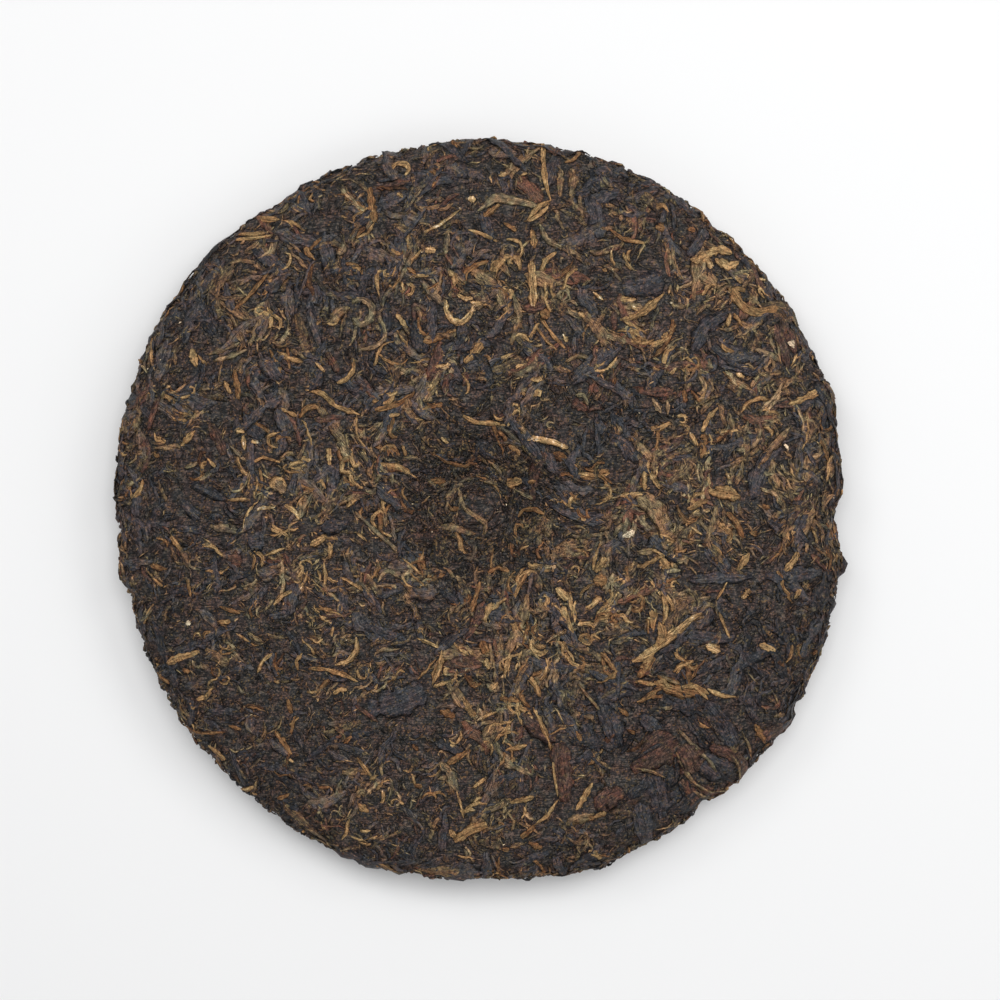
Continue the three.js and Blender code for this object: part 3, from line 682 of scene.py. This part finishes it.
# %% Shown leaves, the band across the middle
MIDDLE_SHOWN = """
gold 6 305,390 322,393 335,406 360,415; gold 5 277,407 297,416; orange 5 299,418 306,409 315,406 321,412;
russet 7 315,420 330,417 345,417; tan 5 186,447 193,440 200,432; straw 5 237,430 245,432;
straw 4 251,441 259,443; straw 4 244,435 245,450; russet 9 213,425 220,440 225,455;
gold 4 280,432 268,436 268,445 278,448; straw 5 329,448 330,465; straw 3 210,459 217,468;
gold 4 137,488 140,500 148,490 150,480; gold 3 253,463 262,457 280,462;
olive 3 229,485 233,492 240,491 247,482 250,470; tan 4 228,500 248,499;
straw 4 258,502 250,510 245,520 243,530; straw 4 252,512 262,508 275,507; straw 5 285,505 295,512 299,520;
straw 9 270,487 279,481 286,487; olive 9 272,480 285,492; straw 7 310,545 325,537;
straw 3 263,556 274,552 285,548; dark 14 248,540 264,540; russet 12 228,560 242,560; gold 5 174,536 185,550;
orange 5 158,564 173,568; straw 3 216,548 224,556; gold 4 188,578 193,596; pale 4 190,620 194,623;
gold 4 219,621 232,621; orange 4 221,606 241,613; russet 4 307,600 295,617; tan 4 274,605 282,596 292,591;
orange 6 375,410 387,408 400,403 415,393; gold 4 386,416 400,414; gold 4 463,416 475,422 500,424;
straw 6 526,441 536,438 555,442 568,448; orange 9 553,454 565,458; orange 4 402,445 406,456;
straw 3 441,437 448,443; orange 6 430,480 445,481; gold 8 506,485 523,480; orange 4 528,482 537,481;
olive 4 513,489 535,500; brown 5 463,493 468,500 473,508 482,512 483,525; orange 4 449,503 458,510 472,509;
brown 4 446,502 449,496 456,494; brown 6 437,528 455,525 478,523; straw 3 382,532 392,537;
straw 3 357,533 367,541; olive 4 355,512 375,530 400,553; gold 3 402,558 412,566 422,575;
olive 4 378,582 382,574 390,570 400,578; orange 4 517,518 522,510 535,509 546,515; straw 2 520,550 529,546;
orange 4 488,573 498,568 510,572; straw 7 556,588 568,600; orange 5 480,582 475,598 472,612;
orange 3 591,470 597,463 605,463; gold 6 605,557 595,572; orange 9 593,580 607,581;
olive 4 575,395 584,395 588,405; russet 8 572,402 588,410; gold 6 563,605 573,635; orange 4 684,390 685,403;
orange 4 691,390 700,402; olive 6 652,398 661,413; olive 4 667,400 668,415;
gold 5 738,414 744,405 755,400 765,403; gold 7 780,408 796,401 812,393; tan 5 717,408 708,418 702,432;
straw 4 690,432 698,446; dark 18 778,448 765,460 757,480 752,500; brown 8 785,427 775,441 765,452 757,465;
pale 3 780,445 784,451; straw 6 650,473 655,482 660,489; straw 4 612,495 603,502;
gold 8 710,493 725,494 740,497; gold 6 715,488 735,491; orange 5 677,505 680,515 688,523 697,521 699,515;
straw 3 690,526 703,535; orange 6 727,512 737,522 743,538; orange 5 749,532 757,535;
orange 5 762,506 770,508; pale 7 622,537 635,531; straw 3 726,472 729,480; gold 9 662,558 668,570;
olive 8 676,562 688,558; gold 6 735,572 742,562 748,553; gold 6 780,570 787,562 794,552;
gold 3 728,578 722,590 716,600; straw 5 747,588 740,598; straw 5 795,586 788,597;
dark 12 690,580 720,577 750,575; dark 12 762,576 790,574 815,572;
gold 11 694,618 682,628 667,638 655,649 645,656 632,661; gold 8 659,622 662,634 655,648;
straw 5 702,613 688,620 675,633 661,642; gold 6 655,650 648,662 640,676; gold 3 718,612 722,624 727,637
"""

# %% Shown leaves, lower third of the cake
LOWER_SHOWN = """
gold 5 170,662 186,655 203,650; orange 5 160,668 173,682; orange 5 187,667 194,669;
tan 4 273,653 264,660 259,672; gold 4 302,653 296,661 298,670; gold 5 308,669 325,669 345,675 358,682;
straw 5 356,637 357,650 349,661 335,665; orange 5 289,698 293,712; gold 5 333,694 340,689 347,690;
orange 5 278,728 287,739 295,750; orange 4 190,722 207,727 230,728; orange 4 233,721 246,725;
gold 5 213,742 222,748 230,755; orange 4 352,735 345,742; straw 3 246,783 259,780; orange 4 322,781 333,781;
straw 3 257,786 262,788; straw 3 293,754 297,757; straw 3 275,680 280,682; straw 4 417,638 428,642 440,648;
straw 4 442,650 440,665 437,675 432,685; straw 4 433,687 448,682; orange 9 482,641 487,654;
straw 5 486,658 489,669; gold 7 463,697 468,708 475,718; orange 7 440,711 455,717; olive 10 487,683 499,690;
straw 6 489,690 498,683; gold 6 525,673 535,685 540,697; orange 5 500,699 520,701;
gold 4 533,707 540,722 548,740 551,750; russet 20 561,742 563,768 563,794; tan 3 553,745 553,768 556,790;
orange 4 576,730 583,745; orange 5 448,763 458,757 470,750; straw 3 450,745 454,747; tan 4 358,755 372,772;
russet 4 355,705 366,713 378,722; gold 5 503,751 515,748 527,745; gold 5 361,796 372,803;
orange 5 415,781 423,783; gold 3 473,785 485,777; tan 3 457,788 461,800 464,812;
gold 8 455,832 468,824 487,818; gold 5 450,822 456,828; straw 6 510,798 521,795 533,792;
orange 6 520,828 533,817; tan 4 532,817 545,808 556,793; orange 5 527,832 540,836; tan 5 590,777 573,800;
orange 5 583,808 603,801; orange 4 501,838 508,840; gold 4 676,673 681,665 692,660;
orange 4 657,676 678,682; orange 10 654,682 668,688 684,691 700,690; gold 6 678,686 692,684 705,691;
gold 4 688,681 697,689 704,696; gold 4 655,683 663,680 668,687; tan 4 704,686 716,691 728,691;
bronze 4 659,675 668,679 679,683; orange 4 617,707 628,715; orange 4 626,728 634,732;
straw 7 704,644 718,650; straw 7 754,642 768,648; orange 5 745,717 755,735;
russet 30 629,765 650,753 674,736; russet 18 676,740 682,752 689,764; dark 24 694,750 708,758 724,764;
russet 13 692,780 712,786 737,780; dark 17 644,769 651,786 656,806; russet 13 676,774 684,786 694,798;
dark 14 633,793 637,812 641,834; russet 10 727,742 734,757 733,772; russet 9 702,740 716,743 727,752;
bronze 3 672,747 678,762 687,775 698,781 710,784 722,781 733,776;
bronze 3 704,740 716,741 725,750 730,762 727,773 719,781; bronze 3 733,724 741,742 742,754;
bronze 4 686,784 705,791 722,789 738,783; bronze 3 630,762 648,764 660,770;
bronze 7 744,771 752,763 760,753; olive 4 675,726 690,741 702,753 708,763; black 3 662,771 662,781 661,792;
black 4 671,752 673,764 671,775; black 3 674,776 676,784 681,792; russet 18 592,800 605,790 620,783;
orange 8 655,658 647,668 638,677; gold 4 652,656 645,661 640,670; russet 15 746,731 762,724 778,713;
gold 5 673,672 678,666 692,661; bronze 3 578,684 591,700 604,715; dark 26 368,709 396,703 424,690;
dark 20 600,700 612,722 618,745; dark 18 700,700 716,716 724,738; dark 14 640,715 652,724 660,736;
black 4 626,758 642,748 658,741 673,733; black 4 736,738 741,752 741,765; black 3 706,752 714,766 722,772;
russet 9 678,748 682,756 686,765
"""
# %% Lay the shown leaves
SHOWN_STATIONS = 11
WIDE_FROM = 10  # pixels
WIDE_LIFT, SHOWN_LIFT, CROSSING_LIFT = 0.08, 0.3, 0.55  # mm; the last for a leaf that lies on a wide one


def read_shown(table):
    """Kind, width in pixels, and map places along each leaf of a table"""
    for entry in table.split(";"):
        kind, wide, *route = entry.split()
        route_pixels = [[float(number) for number in place.split(",")] for place in route]
        yield kind, int(wide), along(from_picture(route_pixels), SHOWN_STATIONS)


shown = [leaf for table in (UPPER_SHOWN, MIDDLE_SHOWN, LOWER_SHOWN) for leaf in read_shown(table)]
wide_shown = [(route, pixels * PIXEL / 2) for _, pixels, route in shown if pixels >= WIDE_FROM]
shown_parts = {name: [] for name in KINDS}
shown_places = []  # the map places along each leaf, with half its width
for kind, pixels_wide, route in shown:
    kind_name, lightness = SHOWN_KINDS[kind]
    wide = pixels_wide * PIXEL * rng.uniform(1.05, 1.25)
    shown_places.append((route, wide / 2))
    near = (np.linalg.norm(route[:, None] - other, axis=-1).min() < half for other, half in wide_shown)
    lift = WIDE_LIFT if pixels_wide >= WIDE_FROM else CROSSING_LIFT if any(near) else SHOWN_LIFT
    shown_parts[kind_name].append(leaves(
        route[None], np.array([True]), np.array([wide]),
        np.array([0.2 + 0.03 * min(wide, 4)]), np.array([lift]),
        np.array([lightness + rng.normal(0, 0.06)]), BROAD if wide > 1.5 else MIDDLING))
print(f"{len(shown)} leaves laid by hand")

# %% [markdown]
# ## Leaves by chance
#
# The rest are spread by a rule: evenly, as a sunflower's seeds are, then jittered. Large leaves go down
# first and lie lowest, middling ones over them, and broken bits on top. Where a leaf lies decides its odds
# of being dark, brown, olive, golden or russet, as the real face is sorted too. The dimple holds fine dark
# leaf, and a ring round it the most buds; its leaves are painted darker still, as shade of the hollow that
# lies most on its upper wall. Thin brown leaf lies flat along the upper and right edge, where leaves are
# also painted lighter as light falls there. The lower left is rubbed down to small paler bits, and toward
# the lower right leaves and crumbs are painted darker.
#
# Two lists of places shift those odds further. Most of the first dozen of each started as the highest and
# the lowest places that a program found in a blurred count of light pixels in the picture, rounded and
# given a reach. Many were then moved, and the others added, by comparing regions of the render
# with the picture.


# %% The odds of each kind
LARGE_ODDS = (0.70, 0.17, 0.02, 0.0, 0.11)  # dark, brown, olive, golden, russet
SMALL_ODDS = (0.295, 0.317, 0.15, 0.158, 0.08)
PALEST = 0.68  # how light a bud is at most, but for the palest ones that are listed
DIMPLE_DARK_AND_PAINTED_SHADE = 0.34  # leaves in the dimple are that much darker within their kind: partly darker leaf, partly painted shade of the hollow
DIMPLE_REACH = 0.22 * RADIUS
DIMPLE_SHADE_RISE = 5  # mm up the picture that the dimple's painted shade is moved, onto the upper wall that the top lamp leaves in shade
EDGE_PAINTED_LIGHT = 0.16  # how much lighter within their kind they are along the upper and right edge: painted light, as that edge catches the lamps from the top
WORN_LIGHT = 0.1  # and where the face is rubbed
LOWER_RIGHT_DARKENING = 0.18  # how much darker they are toward the lower right
FINEST = 0.3  # the share of their size that rubbed leaves have lost
RICH_TINT = 0.35  # how much lighter they are where light leaves gathered
GOLD_NUMBER = 3  # the buds' place in KINDS
BUD_LIFT = 0.07  # mm that a bud lies higher than a leaf
RICH_PATCHES = (  # pixel and reach in pixels: clusters of light leaves on the dimpled face
    (645, 615, 40), (705, 500, 35), (725, 290, 50), (530, 300, 40), (790, 465, 30), (600, 590, 30),
    (297, 525, 38), (455, 285, 28), (775, 385, 45), (560, 665, 22), (750, 430, 25), (400, 520, 35),
    (565, 515, 35), (800, 560, 30), (335, 600, 40), (260, 260, 30),
)
POOR_PATCHES = (  # the same where dark leaf lies almost alone
    (650, 800, 60), (195, 330, 36), (730, 750, 70), (225, 610, 60), (315, 205, 55), (615, 192, 55),
    (780, 680, 60), (285, 790, 55), (185, 505, 40), (255, 690, 50), (465, 165, 45), (305, 285, 35),
    (430, 830, 38), (690, 160, 40), (240, 410, 18), (400, 740, 42), (615, 735, 38), (770, 605, 25),
    (400, 195, 35), (490, 355, 25), (570, 360, 22), (480, 430, 30), (560, 690, 20), (730, 600, 22),
    (695, 650, 25), (640, 420, 20), (690, 705, 45), (760, 635, 35), (620, 685, 25), (560, 845, 26),
    (640, 840, 45), (720, 670, 30), (245, 520, 25),
)


def richness(spot, upper):
    """About -1 to 1 at map places: where light leaves gathered, and where the dark ones lie alone"""
    face = np.full((len(spot), 1), 0 if upper else 400)
    place = np.concatenate([spot, face], axis=-1)
    rich = 0.45 * noise(place + 700, 25) + 0.5 * noise(place + 900, 10)
    for share, patches in ((0.5, RICH_PATCHES), (-0.9, POOR_PATCHES)) if upper else ():
        middles = from_picture([patch[:2] for patch in patches])
        reach = np.array([patch[2] for patch in patches]) * PIXEL
        away = np.linalg.norm(spot[:, None] - middles, axis=-1) / reach
        rich = rich + share * np.exp(-(away**2)).max(axis=1)
    return rich


def dimple_dark_and_shade(spot, upper):
    """1 in the dimple, falling to 0 past its brim, and moved a little up the picture, so that the painted
    shade lies on the upper wall that the top lamp leaves in shade
    """
    run = np.hypot(spot[:, 0], spot[:, 1] - DIMPLE_SHADE_RISE) / DIMPLE_REACH
    return (1 - smoothstep(0.75, 1.35, run)) * upper


def brown_and_lit_edge(spot, upper):
    """1 along the cake's right and upper edge, where thin brown leaf lies flat and leaves are painted lighter
    as light falls there, and 0 away from it
    """
    run = np.hypot(spot[:, 0], spot[:, 1])
    bearing = np.degrees(np.arctan2(spot[:, 1], spot[:, 0]))
    return smoothstep(68, 84, run) * (np.abs(bearing - 70) < 82) * upper


def worn(spot, upper):
    """1 toward the lower left of the dimpled face, which is rubbed to small paler bits, and 0 away from it"""
    return smoothstep(15, 60, -(spot[:, 0] + spot[:, 1]) / np.sqrt(2)) * upper


def toward_lower_right(spot, upper):
    """1 toward the lower right of the dimpled face, where leaves and crumbs are painted darker, and 0 away
    from it
    """
    return smoothstep(52, 75, 0.866 * spot[:, 0] - 0.5 * spot[:, 1]) * upper


def finer(spot, upper):
    """How much of their size leaves keep"""
    return 1 - FINEST * worn(spot, upper)


def odds(spot, upper, shares):
    """Weights of the five kinds at map places, (n, 5), in the order of KINDS"""
    run = np.hypot(spot[:, 0], spot[:, 1])
    bearing = np.degrees(np.arctan2(spot[:, 1], spot[:, 0]))
    dark, brown, olive, gold, russet = (np.full(len(spot), share) for share in shares)
    in_dimple = upper & (run < DIMPLE_REACH)
    ring = upper & (run > 24) & (run < 70)
    upper_right = upper & (bearing > -10) & (bearing < 85) & (run > 40)
    left = upper & (np.abs(bearing) > 140) & (run > 30)
    rich = richness(spot, upper) + 0.1 * ring
    gold *= (1 + 0.4 * ring - 0.2 * in_dimple - 0.2 * (run > 72) - 0.2 * left) * np.exp(1.6 * rich)
    olive *= (1 + 0.3 * ring - 0.5 * left) * np.exp(1.4 * rich)
    dark *= (1 + 0.3 * left + 0.2 * (run > 72) - 0.6 * in_dimple) * np.exp(-1.5 * rich)
    brown *= (1 + 1.2 * in_dimple + 0.5 * upper_right + brown_and_lit_edge(spot, upper)) * np.exp(rich)
    russet *= 1 + 1.4 * upper_right
    weights = np.stack([dark, brown, olive, gold, russet], axis=-1)
    return weights / weights.sum(axis=1, keepdims=True)


# %% Where a batch of leaves lies
def clear_of_shown(spot, room):
    """Whether map places lie clear of the listed leaves"""
    clear = np.ones(len(spot), bool)
    for places, half in shown_places:
        clear &= np.linalg.norm(spot[:, None] - places, axis=-1).min(axis=1) > half + room
    return clear


def seats(count, upper, inner, outer, gather=0.0, room=0.0):
    """Map places, thinned where the dark leaf lies alone and where a listed leaf lies"""
    seat = spread(count, inner, outer)
    kept = rng.random(count) > gather * (1 - smoothstep(-0.4, 0.3, richness(seat, upper)))
    if upper:
        kept &= clear_of_shown(seat, room)
    return seat[kept]


BENT = np.array([0.8, 1.0, 1.5, 1.5, 1.0])  # buds and green leaf curl most
SLIM = np.array([1.0, 1.0, 0.9, 0.85, 0.9])  # buds and stems are slimmer than leaves
FOLLOWERS = 0.45  # the share of leaves that lie the way the swirl goes
STRAYS = 0.4  # the share of a bunch that is of another kind


def scatter(seat, upper, shares, section, stations, length, width, thick, lift, curl, bundle=1,
            round_rim=0.45, palest=PALEST):
    """A batch of leaves over one map, sorted by kind: a result of leaves() for each kind"""
    count = len(seat)
    kind = (rng.random((count, 1)) > odds(seat, upper, shares).cumsum(axis=1)).sum(axis=1)
    kind = np.repeat(kind.clip(0, len(KINDS) - 1), bundle)
    spin, pull = rng.uniform(0, 2 * np.pi, count), rng.random(count)
    outward = np.arctan2(seat[:, 1], seat[:, 0])
    at_rim = np.hypot(seat[:, 0], seat[:, 1]) > 0.88 * RADIUS
    heading = np.where(pull < FOLLOWERS, swirl(seat), spin)
    heading = np.where(at_rim & (pull < round_rim), outward + np.pi / 2, heading)
    heading = np.repeat(heading, bundle) + rng.normal(0, 0.22, count * bundle)
    bend = np.repeat(rng.normal(0, curl, count), bundle) + rng.normal(0, 0.25, count * bundle)
    bend *= BENT[kind]
    total = count * bundle
    seat = np.repeat(seat, bundle, axis=0)
    beside = np.stack([-np.sin(heading), np.cos(heading)], axis=-1)
    ahead = np.stack([np.cos(heading), np.sin(heading)], axis=-1)
    if bundle > 1:
        seat = seat + beside * rng.normal(0, 1.3, (total, 1)) + ahead * rng.normal(0, 1.2, (total, 1))
        stray = rng.random(total) < STRAYS
        kind = np.where(stray, rng.choice(len(KINDS), total, p=shares), kind)
    slim = SLIM[kind] * finer(seat, upper)
    long = finer(seat, upper) * (length[0] + (length[1] - length[0]) * rng.beta(1.5, 2.8, total))
    wide = slim * (width[0] + (width[1] - width[0]) * rng.beta(1.5, 2.4, total))
    on_top = np.full(total, upper)
    tint = rng.beta(1.9, 2.1, total) + RICH_TINT * richness(seat, upper)
    # Painted shade in the dimple, over its darker leaf, and painted darkening toward the lower right
    tint = tint - DIMPLE_DARK_AND_PAINTED_SHADE * dimple_dark_and_shade(seat, upper) - LOWER_RIGHT_DARKENING * toward_lower_right(seat, upper)
    # Painted light along the upper and right edge; lighter where the face is rubbed
    tint = tint + EDGE_PAINTED_LIGHT * brown_and_lit_edge(seat, upper) + WORN_LIGHT * worn(seat, upper)
    golden = kind == GOLD_NUMBER
    tint = np.where(golden, np.minimum(tint + 2 * (palest > 1), palest), tint)
    raised = rng.uniform(*lift, total) + BUD_LIFT * golden
    route = routes(seat, on_top, heading, long, bend, stations)
    thickness = thick * rng.uniform(0.75, 1.3, total)
    made = {}
    for n, name in enumerate(KINDS):
        chosen = kind == n
        if chosen.any():
            made[name] = leaves(route[chosen], on_top[chosen], wide[chosen], thickness[chosen],
                                raised[chosen], tint[chosen], section)
    return made


# %% Scatter large and middling leaves over both faces, and chips round the edge
LARGE = {"length": (7, 20), "width": (2.4, 6), "thick": 0.22, "lift": (-0.06, 0.05), "curl": 0.4}
MIDDLE_SIZED = {
    "length": (3.5, 13), "width": (0.9, 2.3), "thick": 0.18, "lift": (-0.03, 0.12), "curl": 1.6}
CHIPS = {"length": (1.2, 4.5), "width": (0.7, 1.8), "thick": 0.42, "lift": (-0.25, 0.3), "curl": 0.5}
SPECKS = {"length": (0.4, 1.0), "width": (0.3, 0.7), "thick": 0.25, "lift": (0.15, 0.3), "curl": 0.2}
COUNTS = (  # for the upper face and the other: reach, large leaves, bunches, edge chips and pale specks
    (True, TOP_REACH, 470, 1750, 620, 45), (False, UNDER_REACH, 430, 620, 480, 20))
CLEAR_MIDDLE = 24  # mm round the dimple's middle without large leaves
CHIP_BAND = 4  # mm round the edge that crumbled into chips
SPECK_JITTER = 3  # so wide that 9 of the 20 lower specks stray past the map's end and don't show
ONLY_GOLD = (0.0, 0.0, 0.0, 1.0, 0.0)
scattered = {name: list(parts) for name, parts in shown_parts.items()}
for upper, reach, large, bundles, chips, specks in COUNTS:
    bunched = seats(bundles, upper, 0, reach, 0.45, 0.6)
    for made in (
        scatter(seats(large, upper, CLEAR_MIDDLE * upper, reach), upper, LARGE_ODDS, BROAD, 7, **LARGE),
        scatter(bunched, upper, SMALL_ODDS, RIBBON, 8 if upper else 6, bundle=3, **MIDDLE_SIZED),
        scatter(seats(chips, upper, reach - CHIP_BAND, reach), upper, SMALL_ODDS, MIDDLING, 4,
                round_rim=0.8, **CHIPS),
        scatter(spread(specks, 0, reach, SPECK_JITTER), upper, ONLY_GOLD, SLIGHT, 3, palest=1.15, **SPECKS),
    ):
        for name, part in made.items():
            scattered[name].append(part)
for name, parts in scattered.items():
    make_piece(name, parts, KINDS[name])

# %% [markdown]
# ### Shreds and crumbs
#
# Sieving and pressing leave torn shreds, dust and snapped tips in every gap. They are what makes the
# surface read as tea at arm's length, so there are thousands, each of a few triangles, lying highest of
# all. Shreds lie in bunches, as a rolled leaf falls apart along its veins. The dimple gets a second
# helping of the finest, darkest crumbs: partly the dust that the cloth's knot ground there, and partly
# painted shade of the hollow.

# %% Scatter the shreds
SHRED_ODDS = (0.0, 1.0, 0.0, 0.0, 0.0)  # all go to one piece
SHREDS = {"length": (2, 7), "width": (0.4, 1.1), "thick": 0.15, "lift": (0.02, 0.14), "curl": 1.3}
shred_parts = []
for upper, reach, bunches in ((True, TOP_REACH, 2000), (False, UNDER_REACH, 550)):
    seat = seats(bunches, upper, 0, reach, 0.5, 0.3)
    shred_parts += scatter(seat, upper, SHRED_ODDS, SLIGHT, 4, bundle=3, **SHREDS).values()
make_piece("shreds", shred_parts, SHRED)

# %% Scatter the crumbs
crumb_parts = []
# In the dimple's second helping, darker is partly darker dust and partly painted shade of the hollow
for upper, reach, count, darker in (
    (True, TOP_REACH, 5300, 0), (True, DIMPLE_REACH, 1300, 0.26), (False, UNDER_REACH, 1700, 0),
):
    seat = seats(count, upper, 0, reach, 0.2)
    count = len(seat)
    on_top = np.full(count, upper)
    length = rng.uniform(0.7, 2.6, count) * (0.7 if darker else 1)
    heading, curl = rng.uniform(0, 2 * np.pi, count), rng.normal(0, 0.5, count)
    route = routes(seat, on_top, heading, length, curl, 3)
    tint = rng.beta(1.4, 1.9, count) + 0.45 * richness(seat, upper) - darker - 0.03
    tint = tint + WORN_LIGHT * worn(seat, upper) - LOWER_RIGHT_DARKENING * toward_lower_right(seat, upper)
    crumb_parts.append(leaves(route, on_top, rng.uniform(0.4, 1.1, count), rng.uniform(0.12, 0.24, count),
                              rng.uniform(0.0, 0.15, count), tint, SLIGHT))
make_piece("crumbs", crumb_parts, CRUMB)

# %% [markdown]
# ## Table, light and camera
#
# The cake lies on a plain pale table and the camera looks straight down on it, as the picture faces it.
# Broad lamps give the soft light of a studio. The largest hangs overhead and a little beyond the top, which
# shades the upper wall of the dimple and lights the lower. Two at the upper corners and one at the right
# throw soft shadows to the other sides, and a weak one at the lower left keeps that edge from going black.

# %% The table
TABLE_SIZE = 6.0  # m
# Pale paper, matt
PAPER = bpy.data.materials.new("pale_matt_paper")
PAPER.use_nodes = True
paper_inputs = PAPER.node_tree.nodes["Principled BSDF"].inputs
paper_inputs["Base Color"].default_value = linear("#eeeeee")
paper_inputs["Roughness"].default_value = 0.9
bpy.ops.mesh.primitive_plane_add(size=TABLE_SIZE, location=(0, 0, -0.0003))
table = bpy.context.object
table.name = "table"
table.data.materials.append(PAPER)


# %% The lamps and the sky
def lamp(name, spot, size, watts):
    """A round lamp at a spot in metres that points at the cake"""
    light = bpy.data.lights.new(name, "AREA")
    light.shape, light.size, light.energy = "DISK", size, watts
    lamp_object = bpy.data.objects.new(name, light)
    lamp_object.location = spot
    lamp_object.rotation_euler = (-lamp_object.location).to_track_quat("-Z", "Y").to_euler()
    bpy.context.scene.collection.objects.link(lamp_object)


lamp("overhead_lamp", (0.05, 0.25, 1.1), 0.9, 7.5)
lamp("upper_left_lamp", (-0.55, 0.55, 0.85), 0.5, 2.3)
lamp("upper_right_lamp", (0.65, 0.4, 0.8), 0.5, 2.1)
lamp("right_lamp", (0.8, -0.15, 0.6), 0.5, 1.35)
lamp("lower_left_lamp", (-0.4, -0.65, 0.7), 0.6, 0.6)
world = bpy.data.worlds.new("soft_sky")
world.use_nodes = True
sky_inputs = world.node_tree.nodes["Background"].inputs
sky_inputs["Color"].default_value = linear("#f7f8fa")
sky_inputs["Strength"].default_value = 0.28
bpy.context.scene.world = world
bpy.context.scene.view_settings.view_transform = "Standard"

# %% The camera
camera = bpy.data.cameras.new("camera")
camera.lens, camera.sensor_width = LENS, SENSOR
camera_object = bpy.data.objects.new("camera", camera)
camera_object.location = (CAMERA_SPOT[0] * MM, CAMERA_SPOT[1] * MM, (RIM_HEIGHT + CAMERA_RISE) * MM)
bpy.context.scene.collection.objects.link(camera_object)
bpy.context.scene.camera = camera_object
print(f"the camera is {CAMERA_RISE:.0f} mm over the rim")
